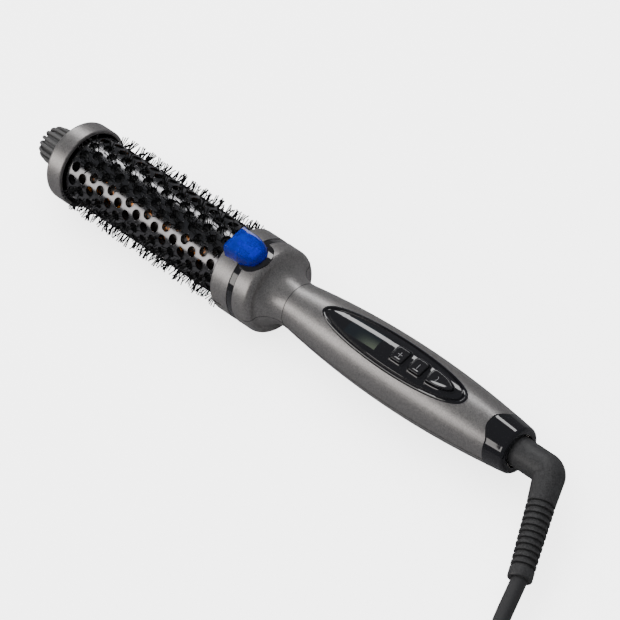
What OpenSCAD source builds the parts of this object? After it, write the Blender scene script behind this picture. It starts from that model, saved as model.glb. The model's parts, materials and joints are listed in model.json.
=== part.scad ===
// Heated round brush: a perforated barrel with bristle strips, a collar with an ion outlet,
// a waisted handle with a control panel, and a mains cord on a swivel elbow.
// Millimetres. +X runs from the cool tip to the cord end, +Z is up through the control panel,
// and the brush lies with its lowest bristle tips on z = 0. A "station" is a distance along
// the brush's axis from the cool tip's end, and module at() turns it into a place.

/* [Barrel] */
// Outer radius of the barrel
barrel_r = 16; // [15.8:0.1:16.2]
// Thickness of the barrel's wall
barrel_wall = 0.8; // [0.6:0.1:1]
// Exposed length of the barrel
barrel_l = 99.5; // [95:0.5:104]
// Holes in one row along the barrel
holes_per_row = 8; // [6:8]
// Rows of holes around the barrel
hole_rows = 32; // [24:4:32]
// Radius of a hole
hole_r = 2.5; // [2:0.1:2.6]
// Distance between the holes of one row
hole_pitch = 12; // [11.5:0.1:12.3]

/* [Bristles] */
// Radius of the circle that the bristle tips reach
tip_r = 21; // [19:0.5:24]
// Strips of bristles around the barrel
strips = 4; // [4]
// Rows of tufts on one strip
rows_per_strip = 5; // [3:5]

/* [Tip] */
// Length of the ribbed cool tip
knob_l = 18.5; // [16:0.5:22]
// Ribs around the cool tip
knob_ribs = 16; // [12:20]
// Length of the tip cap
cap_l = 10; // [9:0.5:12]
// Outer radius of the tip cap
cap_r = 18.95; // [18.6:0.05:19.4]

/* [Head] */
// Outer radius of the collar
collar_r = 19.5; // [19.3:0.1:20]
// Length of the collar
collar_l = 23.5; // [23.5:0.5:26]
// Length of the flare behind the collar
flare_l = 12; // [12:0.5:14]

/* [Handle] */
// Largest radius of the handle
handle_r = 14.76; // [14.5:0.02:15.2]
// Radius of the long arc that the handle's side follows
handle_arc_r = 465; // [440:5:520]
// Length of the two handle shells behind the flare
handle_l = 117; // [116:1:120]
// Length of the glossy end cap
end_cap_l = 10; // [10:0.5:12]
// Thickness of the shells
shell = 2; // [1.8:0.1:2.2]

/* [Buttons] */
// How far a button goes down
button_travel = 0.4; // [0.3:0.05:0.4]
// Gap around a button
button_gap = 0.2; // [0.15:0.05:0.3]

/* [Cord] */
// Diameter of the mains cord
cord_d = 6.7; // [6:0.1:7]
// Radius of the middle of the coil's turns
coil_mid_r = 34; // [33:1:36]
// Thickness of the strap that ties the coil
strap = 0.9; // [0.6:0.1:1]

/* [Hidden] */
round_fn = 96;
small_fn = 32;
slack = 0.05;

// Stations of the main joints between parts
s_cap = knob_l;
s_barrel = s_cap + cap_l;
s_collar = s_barrel + barrel_l;
s_flare = s_collar + collar_l;
s_neck = s_flare + flare_l;
s_end_cap = s_neck + handle_l;
total_l = s_end_cap + end_cap_l;

// Rows of holes
row_angle = 360 / hole_rows;
first_hole = s_barrel + 4.7;
tuft_r = 1.1;
axis_h = tip_r;

// Handle and panel
s_belly = s_neck + 62;
neck_r = body_r(s_neck);
panel_s = s_neck + 62;
panel_tip_end = 43.5;
panel_cord_end = 38.5;
panel_half_w = 8.65;
bezel_w = 2.05;
bezel_tip = 3;
plus_s = panel_s + 2.2;
minus_s = panel_s + 12.6;
power_s = panel_s + 19;
button_half = 3.3;
button_top = handle_r + 1.15;
board_top = 7.8;

// Inside of the barrel
core_r = 10.5;
s_core = s_barrel + 0.9;
core_l = 97.6;
base_s = s_collar - 2;

// Collar
band_s = s_collar + 10.5;
band_l = 3.5;
band_groove_r = 18.1;
seat_s = s_collar + 14.3;
seat_r = 8;
seat_top_r = 19.75;
mouth_s = s_collar + 3;

// Swivel elbow
s_bush = s_end_cap - 6.5;
elbow_r = 6.6;
elbow_in = 4.6;
corner_s = total_l + 16.5;
bend_side = -64;
bend_down = 8.2;
bend_angle = acos(cos(bend_down) * cos(bend_side));
bend_roll = atan(tan(bend_down) / sin(-bend_side));
elbow_bend_r = 4.4;
elbow_tangent = elbow_bend_r * tan(bend_angle / 2);
elbow_leg = 14.2;
relief_l = 33;
relief_r = 5.8;
relief_end = [corner_s - total_l / 2, 0, axis_h]
    + (elbow_leg + relief_l) * [cos(bend_down) * cos(bend_side),
        cos(bend_down) * sin(bend_side), -sin(bend_down)];

// The cord's route from the strain relief to the coil: straight, round a bend, then straight
// along the table, in plan view from the relief's end
lead_side = bend_side - 10;
lead_straight = 15;
lead_bend_r = 26;
lead_bend = [lead_straight * cos(lead_side), lead_straight * sin(lead_side)];
lead_arc = -lead_side * PI / 180 * lead_bend_r;
bend_end = lead_bend + lead_bend_r * [-sin(lead_side), cos(lead_side) - 1];
function lead_plan(l) = let (a = lead_side + (l - lead_straight) / lead_bend_r * 180 / PI)
    l < lead_straight ? l * [cos(lead_side), sin(lead_side)]
    : a < 0 ? lead_bend + lead_bend_r * [sin(a) - sin(lead_side), cos(lead_side) - cos(a)]
    : bend_end + [l - lead_straight - lead_arc, 0];

// From 0 to 1 without a kink at either end
function ease(t) = (1 - cos(180 * min(1, max(0, t)))) / 2;

// The coil lies past the end of the brush, and the plug lies on the coil
coil_x = 278;
coil_y = relief_end[1] + bend_end[1] + coil_mid_r + cord_d;
coil_layers = 4;
coil_columns = 3;
coil_at = [coil_x, coil_y, strap];
clear_l = 24.5;
lead_l = coil_x - relief_end[0] - bend_end[0] + lead_straight + lead_arc - clear_l;
lead_drop = relief_end[2] - strap - cord_d / 2;
// The last turn climbs onto the coil and bends inwards to the plug
tail_bend_r = 26;
tail_l = tail_bend_r * PI / 2;
on_coil = 0.2;
tail_z = strap + (coil_layers + 0.5) * cord_d + on_coil;
plug_h = 13.7;
plug_z = strap + coil_layers * cord_d + plug_h / 2 + on_coil;
function lead_in(l) = [relief_end[0] + lead_plan(l)[0], relief_end[1] + lead_plan(l)[1],
    relief_end[2] - lead_drop * (1 - pow(1 - min(1, l / 90), 2))];
function tail(l) = let (a = l / tail_bend_r * 180 / PI)
    [coil_x + tail_bend_r * sin(a),
        coil_y - coil_mid_r - cord_d + tail_bend_r * (1 - cos(a)),
        tail_z + (plug_z - tail_z) * ease(l / tail_l)];
end_gap = 0.9;
LEAD_IN = [for (i = [0 : 22]) lead_in(end_gap + (lead_l - end_gap) * i / 22)];
TAIL = [for (i = [0 : 10]) tail((tail_l - 0.4) * i / 10)];
plug_at = tail(tail_l);

// Places and turned shapes
module at(s, y = 0, z = 0) {
    translate([s - total_l / 2, y, axis_h + z]) children();
}

module turned(points, fn = round_fn) {
    at(0) rotate([0, 90, 0]) rotate_extrude($fn = fn) polygon([for (p = points) [p[1], p[0]]]);
}

// A rod along the axis direction: its station, its centre and its length
module rod(s, l, r, y = 0, z = 0, fn = small_fn) {
    at(s, y, z) rotate([0, 90, 0]) cylinder(h = l, r = r, $fn = fn);
}

module block(s, l, w, h, y = 0, z = 0) {
    at(s, y - w / 2, z) cube([l, w, h]);
}

module half(up = true, gap = 0) {
    intersection() {
        children();
        at(0, -40, up ? gap : -40 - gap) cube([total_l, 80, 40]);
    }
}

// Points of a quarter arc: centre, radius, first and last angle
function arc(c, r, a, b, n = 6) = [for (i = [0 : n])
    c + r * [cos(a + (b - a) * i / n), sin(a + (b - a) * i / n)]];

// Radius of the handle's long arc at a station
function body_r(s) = handle_r - handle_arc_r + sqrt(pow(handle_arc_r, 2) - pow(s - s_belly, 2));

// Solid of revolution between two stations whose side is the handle's arc, moved out by grow
module body_arc(s0, s1, grow = 0) {
    at(0) rotate([0, 90, 0]) rotate_extrude($fn = round_fn) intersection() {
        translate([0, s0]) square([handle_r + 4, s1 - s0]);
        translate([handle_r - handle_arc_r + grow, s_belly]) circle(r = handle_arc_r, $fn = 720);
    }
}

// Half width of the panel's outline at a distance x from its widest place
function panel_w(x, trim_w, trim_l) = (panel_half_w - trim_w) * (x < 0
    ? pow(max(0, 1 - pow(x / (panel_tip_end - trim_l), 2)), 0.7)
    : pow(max(0, 1 - pow(x / (panel_cord_end - trim_l), 2)), 0.42));

function panel_side(trim_w, trim_l, n = 16) = [for (i = [-n : n])
    let (x = (i < 0 ? panel_tip_end - trim_l : panel_cord_end - trim_l) * sin(90 * i / n))
    [x, panel_w(x, trim_w, trim_l)]];

module panel_prism(trim_w = 0, trim_l = 0) {
    side = panel_side(trim_w, trim_l);
    mirrored = [for (i = [len(side) - 2 : -1 : 1]) [side[i][0], -side[i][1]]];
    at(panel_s) linear_extrude(30) polygon(concat(side, mirrored));
}

// Rounded square of a button, and the pointed shape of the power button
function key_outline(g) = let (a = button_half + g, r = 1.2 + g)
    concat(arc([a - r, a - r], r, 0, 90), arc([r - a, a - r], r, 90, 180),
        arc([r - a, r - a], r, 180, 270), arc([a - r, r - a], r, 270, 360));

function drop_outline(g) = let (
    side = [for (i = [1 : 10]) let (x = 12.6 * sin(9 * i))
        [x + g * i / 10, (3.3 + g) * pow(max(0, 1 - pow(x / 12.6, 2)), 0.6)]])
    concat([[-g, -2.6], [-g, 2.6], [0.7, 3.3 + g]], side,
        [for (i = [8 : -1 : 0]) [side[i][0], -side[i][1]]], [[0.7, -3.3 - g]]);

module key_prism(s, outline, z0, z1) {
    at(s, 0, z0) linear_extrude(z1 - z0) polygon(outline);
}

// Tip

module cool_tip() {
    rib_pitch = 360 / knob_ribs;
    taper = 3.4;
    color("#3a3a3c") difference() {
        turned(concat([[0, 0], [0, 5.4]], arc([2.6, 5.4], 2.6, 180, 90),
            [[knob_l, 9.1], [knob_l, 4.9], [knob_l + 3, 4.9], [knob_l + 3, 0]]));
        for (i = [0 : knob_ribs - 1])
            at(0) rotate([i * rib_pitch, 0, 0]) translate([-1, 0, 8.1])
                rotate([0, 90 - taper, 0]) cylinder(h = knob_l + 0.6, r = 0.9, $fn = small_fn);
        rod(11, 20, 1.5);
    }
}

module tip_cap() {
    color("#7c7a7c") turned(concat([[s_cap, 5]], arc([s_cap + 2, cap_r - 2], 2, 180, 90),
        arc([s_barrel - 0.7, cap_r - 0.7], 0.7, 90, 0),
        [[s_barrel, 17.3], [s_cap + 3, 17.3], [s_cap + 3, 5]]));
}

module tip_holder() {
    a = s_cap + 3;
    color("#2b2b2b") turned([[a, 1.6], [a, 16.4], [a + 2, 16.4], [a + 2, 15.1],
        [s_barrel + 1.5, 15.1], [s_barrel + 1.5, 11], [s_barrel - 1.5, 11],
        [s_barrel - 1.5, 1.6]]);
}

module tip_screw() {
    color("silver") union() {
        rod(12, s_barrel - 13.5, 1.45);
        rod(s_barrel - 1.5, 2, 2.9);
    }
}

// Barrel

// Station of hole i in a row: every second row is half a pitch further along
function hole_s(row, i) = first_hole + (i + (row % 2 == 0 ? 0.5 : 0)) * hole_pitch;

module barrel() {
    s0 = s_cap + 5;
    s1 = s_collar + 6;
    color("#3c3c40") difference() {
        turned([[s0, barrel_r - barrel_wall], [s0, barrel_r], [s1, barrel_r],
            [s1, barrel_r - barrel_wall]]);
        for (row = [0 : hole_rows - 1], i = [0 : holes_per_row - 1])
            at(hole_s(row, i)) rotate([row * row_angle, 0, 0])
                translate([0, 0, barrel_r - 2]) cylinder(h = 4, r = hole_r, $fn = small_fn);
    }
}

// One moulded strip: a curved spine under the barrel with a tuft through each hole
module bristle_strip(n) {
    s0 = s_barrel + 1.5;
    spine_l = base_s - s0;
    first_row = (n - 1) * hole_rows / strips - 2;
    color("#111111") union() {
        at(s0) rotate([(first_row + (rows_per_strip - 1) / 2) * row_angle, 0, 0])
            rotate([0, 90, 0]) rotate([0, 0, 154]) rotate_extrude(angle = 52, $fn = round_fn)
            translate([13.2, 0]) square([1.7, spine_l]);
        for (row = [first_row : first_row + rows_per_strip - 1], i = [0 : holes_per_row - 1])
            at(hole_s(row, i)) rotate([row * row_angle, 0, 0])
                translate([0, 0, 14]) cylinder(h = tip_r - 14, r = tuft_r, $fn = small_fn);
    }
}

// Heater

module heat_block(up) {
    side = up ? 1 : -1;
    color("#b8bcc2") difference() {
        rod(s_core, core_l, core_r, 0, 0, round_fn);
        block(s_core - 1, core_l + 2, 30, 30, 0, up ? -28.5 : -1.5);
        for (a = [-50, -25, 0, 25, 50])
            at(s_core - 1) rotate([a, 0, 0]) translate([0, 0, side * 10.3])
                rotate([0, 90, 0]) cylinder(h = core_l + 2, r = 0.8, $fn = small_fn);
        rod(s_core + 66, core_l, 1.3, 3.2, side * 5);
    }
}

module ptc_heater() {
    color("#d8d2c4") block(s_core + 10, 76, 15, 2.9, 0, -1.45);
}

module insulation_film() {
    color("#c8660a") turned([[s_core + 3, 10.6], [s_core + 3, 10.85],
        [s_core + 91, 10.85], [s_core + 91, 10.6]]);
}

module thermistor() {
    color("#c9c2b0") union() {
        rod(s_core + 66.5, 12, 1.2, 3.2, 5);
        rod(s_core + 78, 74, 0.5, 3.2, 5);
    }
}

// Head

module barrel_base() {
    a = base_s;
    color("#2b2b2b") turned([[a, 11], [a, 15.1], [a + 8, 15.1], [a + 8, 17.4], [a + 11, 17.4],
        [a + 11, 9.4], [a + 26, 9.4], [a + 26, 7.5], [a + 2.5, 7.5], [a + 2.5, 11]]);
}

// The collar and flare as one turned wall: the outside first, then the inside
module head_wall() {
    c = s_collar;
    flare_out = [for (i = [0 : 14]) let (t = 90 * i / 14)
        [s_neck - flare_l * cos(t), 16.5 - (16.5 - neck_r) * sin(t)]];
    flare_in = [for (i = [14 : -1 : 2]) let (t = 90 * i / 14)
        [s_neck - 2 - flare_l * cos(t), 16.6 - 7.9 * sin(t)]];
    turned(concat([[c, 16.1]], arc([c + 1.2, collar_r - 1.2], 1.2, 180, 90),
        [[band_s, collar_r], [band_s, band_groove_r], [band_s + band_l, band_groove_r],
            [band_s + band_l, collar_r]],
        arc([s_flare - 3, collar_r - 3], 3, 90, 0), flare_out, [[s_neck, 8.7]], flare_in,
        [[s_flare - 2, 17.5], [c + 14.2, 17.5], [c + 14.2, 16.6], [c + 10.3, 16.6],
            [c + 10.3, 15.5], [c + 9, 15.5], [c + 9, 17.45], [c + 6, 17.45], [c + 6, 16.1]]));
}

module head_shell(up) {
    color("#7c7a7c") difference() {
        half(up) head_wall();
        if (up) at(seat_s, 0, 13) cylinder(h = 10, r = seat_r + slack, $fn = round_fn);
        block(s_collar + 1.5, 5, 1.6, 1.2, -collar_r, -0.6);
    }
}

module trim_band() {
    color("#0c0c0e") difference() {
        union() {
            turned([[band_s + slack, band_groove_r + slack], [band_s + slack, collar_r - 0.3],
                [band_s + band_l - slack, collar_r - 0.3],
                [band_s + band_l - slack, band_groove_r + slack]]);
            intersection() {
                at(seat_s, 0, 10) cylinder(h = 15, r = seat_r, $fn = round_fn);
                turned([[seat_s - 10, 17.6], [seat_s - 10, seat_top_r],
                    [seat_s + 10, seat_top_r], [seat_s + 10, 17.6]]);
            }
        }
        at(mouth_s + 12, 0, 10) cylinder(h = 15, r = 1.5, $fn = small_fn);
    }
}

// Outlines of the ion outlet: plan, side and end. trim makes the hollow inside it.
function outlet_plan(trim) = let (l = 16.8 - trim, w = 6.85 - trim)
    concat([[trim > 0 ? -1 : 0, 7.3 - trim]],
        [for (i = [0 : 10]) let (x = 7 + (l - 7) * sin(9 * i))
            [x, w * pow(max(0, 1 - pow((x - 7) / (l - 7), 2.2)), 0.5)]],
        [for (i = [9 : -1 : 0]) let (x = 7 + (l - 7) * sin(9 * i))
            [x, -w * pow(max(0, 1 - pow((x - 7) / (l - 7), 2.2)), 0.5)]],
        [[trim > 0 ? -1 : 0, trim - 7.3]]);

function outlet_side(trim) = concat([[-1, 12], [-1, 24.3 - trim]],
    [for (i = [0 : 10]) let (x = 6 + (10.8 - trim) * sin(9 * i))
        [x, 19 + (5.3 - trim) * cos(9 * i)]], [[16.8 - trim, 12]]);

function outlet_end(trim) = [[-7.8 + trim, 12], [-7.3 + trim, 18.9], [-5.6 + trim, 24 - trim],
    [-3, 24.4 - trim], [3, 24.4 - trim], [5.6 - trim, 24 - trim], [7.3 - trim, 18.9],
    [7.8 - trim, 12]];

module outlet_solid(trim) {
    intersection() {
        at(mouth_s) linear_extrude(30) polygon(outlet_plan(trim));
        at(mouth_s, 10) rotate([90, 0, 0]) linear_extrude(20) polygon(outlet_side(trim));
        at(mouth_s - 1) rotate([90, 0, 90]) linear_extrude(20) polygon(outlet_end(trim));
    }
}

module ion_outlet() {
    color("#1030d0") difference() {
        outlet_solid(0);
        outlet_solid(1);
        rod(mouth_s - 2, 22, seat_top_r + 0.02, 0, 0, round_fn);
    }
}

module ion_emitter_holder() {
    color("#1a2a50") difference() {
        union() {
            block(mouth_s + 10.4, 3, 4.6, 1.5, 0, 19.8);
            rod(mouth_s + 2.4, 8.2, 1.35, 0, 21.3);
            at(mouth_s + 12, 0, 15) cylinder(h = 5.5, r = 1.4, $fn = small_fn);
        }
        rod(mouth_s + 2, 8.2, 0.9, 0, 21.3);
    }
}

module ion_needle() {
    color("silver") rod(mouth_s + 1.6, 8.6, 0.35, 0, 21.3);
}

module ion_generator() {
    color("#20242c") block(s_neck + 36, 26, 12, 10, 0, -8);
}

// Handle

module handle_wall(up) {
    root = s_neck - 6;
    half(up) difference() {
        union() {
            body_arc(s_neck, s_end_cap);
            turned([[root, 6.6], [root, 8.6], [s_neck + 3, 8.6], [s_neck + 3, 6.6]]);
        }
        body_arc(s_neck + 2, s_end_cap + 1, -shell);
        rod(root - 1, 20, 6.6, 0, 0, round_fn);
    }
}

screw_stations = [s_neck + 6.5, s_end_cap - 18];

module tongue(gap = 0) {
    at(s_end_cap - 3.2 - gap, 0, 5) linear_extrude(12)
        polygon(concat(arc([2.2 + gap, 1.8], 2.2 + gap, 180, 90), [[6, 4 + gap], [6, -4 - gap]],
            arc([2.2 + gap, -1.8], 2.2 + gap, 270, 180)));
}

module handle_shell_upper() {
    color("#7c7a7c") difference() {
        union() {
            handle_wall(true);
            for (s = screw_stations) intersection() {
                at(s, 0, -1) cylinder(h = 20, r = 2, $fn = small_fn);
                body_arc(s - 4, s + 4, -1);
            }
            intersection() {
                for (side = [-1, 1]) block(s_neck + 30, 60, 8, 1.2, side * 10.8, board_top - 2.8);
                body_arc(s_neck + 20, s_end_cap, -1);
            }
        }
        for (s = screw_stations) at(s, 0, -2) cylinder(h = 9.5, r = 1.15, $fn = small_fn);
        panel_prism();
        tongue();
    }
}

module handle_shell_lower() {
    color("#7c7a7c") difference() {
        union() {
            handle_wall(false);
            for (s = screw_stations) intersection() {
                at(s, 0, -21) cylinder(h = 20, r = 3.2, $fn = small_fn);
                body_arc(s - 4, s + 4, -1);
            }
            intersection() {
                block(s_bush - 8, 6.5, 8, 5, 0, -13.2);
                body_arc(s_bush - 9, s_bush, -1);
            }
        }
        for (s = screw_stations) {
            at(s, 0, -14) cylinder(h = 14, r = 1.35, $fn = small_fn);
            at(s, 0, -17) cylinder(h = 10, r = 2.5, $fn = small_fn);
        }
    }
}

module shell_screws() {
    color("silver") for (s = screw_stations) union() {
        at(s, 0, -7.2) cylinder(h = 13, r = 1.1, $fn = small_fn);
        at(s, 0, -8.8) cylinder(h = 1.8, r = 2.2, $fn = small_fn);
    }
}

// Panel

module panel_bezel() {
    color("#0c0c0e") intersection() {
        difference() {
            panel_prism();
            panel_prism(bezel_w, bezel_tip);
        }
        difference() {
            body_arc(s_neck + 10, s_end_cap - 4, 0.45);
            body_arc(s_neck + 5, s_end_cap, -2.4);
        }
    }
}

module panel_lens() {
    color("#101012") difference() {
        intersection() {
            panel_prism(bezel_w, bezel_tip);
            difference() {
                body_arc(s_neck + 10, s_end_cap - 4, 0.25);
                body_arc(s_neck + 5, s_end_cap, -1.2);
            }
        }
        for (s = [plus_s, minus_s])
            key_prism(s, key_outline(button_gap), 8, 20);
        key_prism(power_s, drop_outline(button_gap), 8, 20);
    }
}

module display_module() {
    color("#7d857a") block(panel_s - 27.5, 18, 8.2, 11.6 - board_top, 0, board_top);
}

module main_board() {
    color("#1e5c34") block(s_neck + 26, 68, 15, 1.6, 0, board_top - 1.6);
}

module tact_switches() {
    color("#c8c8c8") for (s = [plus_s, minus_s, power_s + 4]) union() {
        block(s - 3, 6, 6, 2.4, 0, board_top);
        at(s, 0, board_top) cylinder(h = 3.1, r = 1.7, $fn = small_fn);
    }
}

// A button: the cap through the lens, a wider flange below it and a plunger over the switch
module button(s, outline, flange, press_s) {
    color("#141416") union() {
        key_prism(s, outline, 12, button_top);
        key_prism(s, flange, 11.35, 12);
        at(press_s, 0, board_top + 3.1 + button_travel + slack) cylinder(
            h = 0.4, r = 1.2, $fn = small_fn);
    }
}

// Leads and fuse

module heater_leads() {
    color("#e8e4dc") for (y = [-3.2, 3.2]) rod(s_core + 86, 76, 0.8, y, 0);
}

module thermal_fuse() {
    color("#d8d8d0") rod(s_neck + 12, 11, 1.9);
}

// Cord end

module end_cap() {
    spigot = s_end_cap - 4;
    color("#0c0c0e") difference() {
        union() {
            body_arc(s_end_cap, total_l - 2);
            turned(concat([[total_l - 2, 0]], [[total_l - 2, body_r(total_l - 2)]],
                arc([total_l - 1.8, body_r(total_l - 2) - 1.8], 1.8, 90, 0), [[total_l, 0]]));
            rod(spigot, 4.5, 9.3, 0, 0, round_fn);
            intersection() {
                tongue(-slack);
                difference() {
                    body_arc(s_end_cap - 5, s_end_cap + 1);
                    rod(s_end_cap - 6, 8, 8.6, 0, 0, round_fn);
                }
            }
        }
        rod(spigot - 4, 16, 8.5, 0, 0, round_fn);
        rod(spigot, 40, elbow_r + 0.7, 0, 0, round_fn);
    }
}

// Two half rings that hold the elbow's flange and let it turn
module swivel_bush() {
    a = s_bush;
    color("#e6e2d6") for (up = [true, false]) half(up, 0.05) turned([[a, elbow_in + 0.08],
        [a, 8.4], [total_l - 2.1, 8.4], [total_l - 2.1, 7.2], [total_l - 4, 7.2],
        [total_l - 4, elbow_in + 0.08], [a + 6.2, elbow_in + 0.08], [a + 6.2, 6.3],
        [a + 3.8, 6.3], [a + 3.8, elbow_in + 0.08]]);
}

module contact_springs() {
    color("#c8862a") for (s = [s_bush - 6.5, s_bush - 3]) union() {
        block(s, 1.4, 6, 0.6, 0, -8.2);
        block(s, 1.4, 1.4, 3.4, 0, -7.8);
    }
}

module contact_rings() {
    color("#d6b25a") for (s = [s_bush - 6.5, s_bush - 3])
        turned([[s, 3.05], [s, 4.2], [s + 1.4, 4.2], [s + 1.4, 3.05]]);
}

module along_relief(distance = 0) {
    at(corner_s) rotate([0, 90 + bend_down, bend_side]) translate([0, 0, distance]) children();
}

module swivel_elbow() {
    a = s_bush;
    color("#303033") union() {
        rod(a - 8, 8.5, 3, 0, 0, round_fn);
        rod(a, total_l - 3 - a, elbow_in, 0, 0, round_fn);
        rod(a + 4, 2, 6.2, 0, 0, round_fn);
        rod(total_l - 3.8, corner_s - total_l + 4.1 - elbow_tangent, elbow_r - 0.03, 0, 0, round_fn);
        at(corner_s) rotate([bend_roll, 0, 0]) translate([-elbow_tangent, -elbow_bend_r, 0])
            rotate([0, 0, 90 - bend_angle]) rotate_extrude(angle = bend_angle, $fn = round_fn)
            intersection() {
                translate([elbow_bend_r, 0]) circle(r = elbow_r, $fn = round_fn);
                translate([0, -10]) square(20);
            }
        along_relief(elbow_tangent - 0.3)
            cylinder(h = elbow_leg + 0.3 - elbow_tangent, r1 = elbow_r - 0.03, r2 = relief_r, $fn = round_fn);
    }
}

module strain_relief() {
    ribs = 10;
    pitch = 2.69;
    tooth = [for (i = [0 : ribs - 1]) let (z = 0.6 + i * pitch, r = relief_r - 0.07 * i)
        each [[r - 1, z], [r - 1, z + 1], [r, z + 1.3], [r, z + pitch - 0.3]]];
    color("#303033") along_relief(elbow_leg) rotate_extrude($fn = round_fn)
        polygon(concat([[0, 0], [relief_r - 0.05, 0], [relief_r - 0.05, 0.3]], tooth,
            [[4.1, relief_l - 5.5], [4.1, relief_l - 4.7], [5.1, relief_l - 4.4],
                [5.1, relief_l - 0.7], [4.9, relief_l - 0.2], [4.5, relief_l], [0, relief_l]]));
}

// Sweep of a round section along a list of points
function unit(v) = v / norm(v);
function tangent(p, i) = unit(p[min(i + 1, len(p) - 1)] - p[max(i - 1, 0)]);
function ring(p, i, r, n) = let (t = tangent(p, i), u = unit(cross(t, [0, 0.1, 1])), v = cross(t, u))
    [for (k = [0 : n - 1]) p[i] + r * (cos(360 * k / n) * u + sin(360 * k / n) * v)];

module sweep(p, r, n = 12) {
    last = (len(p) - 1) * n;
    polyhedron(
        points = [for (i = [0 : len(p) - 1]) each ring(p, i, r, n)],
        faces = concat(
            [[for (k = [0 : n - 1]) k]],
            [for (i = [0 : len(p) - 2], k = [0 : n - 1])
                [i * n + k, (i + 1) * n + k, (i + 1) * n + (k + 1) % n, i * n + (k + 1) % n]],
            [[for (k = [n - 1 : -1 : 0]) last + k]]));
}

module power_cord() {
    color("#1c1c1e") {
        sweep(LEAD_IN, cord_d / 2);
        sweep(TAIL, cord_d / 2);
    }
}

module cord_coil() {
    w = coil_columns * cord_d;
    h = coil_layers * cord_d;
    inner = coil_mid_r - w / 2;
    color("#1c1c1e") translate(coil_at) rotate_extrude($fn = round_fn) translate([inner, 0])
        polygon(concat(arc([w - 3, 3], 3, 270, 360), arc([w - 3, h - 3], 3, 0, 90),
            arc([3, h - 3], 3, 90, 180), arc([3, 3], 3, 180, 270)));
}

// A hook-and-loop strap round the coil's section, away from the plug and the cord's ends
module cable_tie() {
    w = coil_columns * cord_d;
    h = coil_layers * cord_d;
    inner = coil_mid_r - w / 2;
    color("#26262a") translate([coil_x, coil_y, 0]) rotate([0, 0, 100])
        rotate_extrude(angle = 18, $fn = round_fn) difference() {
            translate([inner - strap, 0]) square([w + 2 * strap, h + 2 * strap]);
            translate([inner - slack, strap - slack]) square([w + 2 * slack, h + 2 * slack]);
        }
}

// A flat two-pin plug on the cord's end, its pins along +Y
module plug_body() {
    color("#1c1c1e") translate(plug_at) rotate([0, 0, 90]) union() {
        rotate([0, 90, 0]) cylinder(h = 14, r1 = 3.6, r2 = 5.2, $fn = small_fn);
        translate([13, 0, 0]) rotate([0, 90, 0]) cylinder(h = 8, r = 6, $fn = small_fn);
        translate([20, 0, -plug_h / 2]) linear_extrude(plug_h) polygon([[0, -7], [14, -14],
            [18, -14], [18, 14], [14, 14], [0, 7]]);
    }
}

module plug_pins() {
    color("silver") for (side = [-9.3, 9.3]) translate(plug_at + [side, 38, 0])
        rotate([-90, 0, 0]) cylinder(h = 19, r = 2, $fn = small_fn);
}

cool_tip();
tip_cap();
tip_holder();
tip_screw();
barrel();
bristle_strip(1);  // bristle_strip_1
bristle_strip(2);  // bristle_strip_2
bristle_strip(3);  // bristle_strip_3
bristle_strip(4);  // bristle_strip_4
heat_block(true);  // heat_block_upper
heat_block(false);  // heat_block_lower
ptc_heater();
insulation_film();
thermistor();
barrel_base();
head_shell(true);  // head_shell_upper
head_shell(false);  // head_shell_lower
trim_band();
ion_outlet();
ion_emitter_holder();
ion_needle();
ion_generator();
handle_shell_upper();
handle_shell_lower();
shell_screws();
panel_bezel();
panel_lens();
display_module();
main_board();
tact_switches();
button(plus_s, key_outline(0), key_outline(0.7), plus_s);  // button_plus
button(minus_s, key_outline(0), key_outline(0.7), minus_s);  // button_minus
button(power_s, drop_outline(0), drop_outline(0.7), power_s + 4);  // button_power
heater_leads();
thermal_fuse();
end_cap();
swivel_bush();
contact_springs();
contact_rings();
swivel_elbow();
strain_relief();
power_cord();
cord_coil();
cable_tie();
plug_body();
plug_pins();
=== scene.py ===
# %% [markdown]
# # A heated round brush in Blender
# The brush is a perforated metal barrel with black bristles, a collar with a blue ion outlet,
# a waisted handle with a gloss black control panel, and a mains cord on a swivel elbow.
# The solid parts come from a CAD model, which is loaded first and sets every place and size.
# This lesson adds what a CAD model doesn't hold: fine bristles, rolled hole rims, the sculpted
# panel, the cord, and a finish for every surface.

# %% Load the CAD frame
import json
import math

import bmesh
import bpy
from mathutils import Matrix, Vector


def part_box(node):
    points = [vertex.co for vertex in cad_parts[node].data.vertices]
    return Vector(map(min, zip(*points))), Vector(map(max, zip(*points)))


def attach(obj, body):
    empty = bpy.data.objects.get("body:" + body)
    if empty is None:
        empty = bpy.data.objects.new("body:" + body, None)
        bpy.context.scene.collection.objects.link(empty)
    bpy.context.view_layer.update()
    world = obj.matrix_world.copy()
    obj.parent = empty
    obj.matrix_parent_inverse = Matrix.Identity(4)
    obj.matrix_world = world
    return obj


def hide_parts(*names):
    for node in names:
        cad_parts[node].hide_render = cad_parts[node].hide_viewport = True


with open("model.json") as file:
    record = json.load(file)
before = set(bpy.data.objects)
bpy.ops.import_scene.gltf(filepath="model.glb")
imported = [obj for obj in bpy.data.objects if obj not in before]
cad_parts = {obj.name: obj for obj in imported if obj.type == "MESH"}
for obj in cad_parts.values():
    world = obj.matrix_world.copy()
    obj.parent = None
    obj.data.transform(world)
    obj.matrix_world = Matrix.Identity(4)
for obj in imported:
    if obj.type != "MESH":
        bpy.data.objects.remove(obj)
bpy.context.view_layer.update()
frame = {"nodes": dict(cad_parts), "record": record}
nodes = frame["nodes"]
MM = 0.001
print("CAD nodes:", len(nodes))

# %% [markdown]
# ## Places along the brush
# The brush lies along X, and its axis is one barrel-and-bristle radius above the table. A
# "station" is a distance from the cool tip's end, as a maker would mark it on a drawing. Radii
# and stations are in millimetres here, and `place` turns them into metres in the shared frame.

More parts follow.
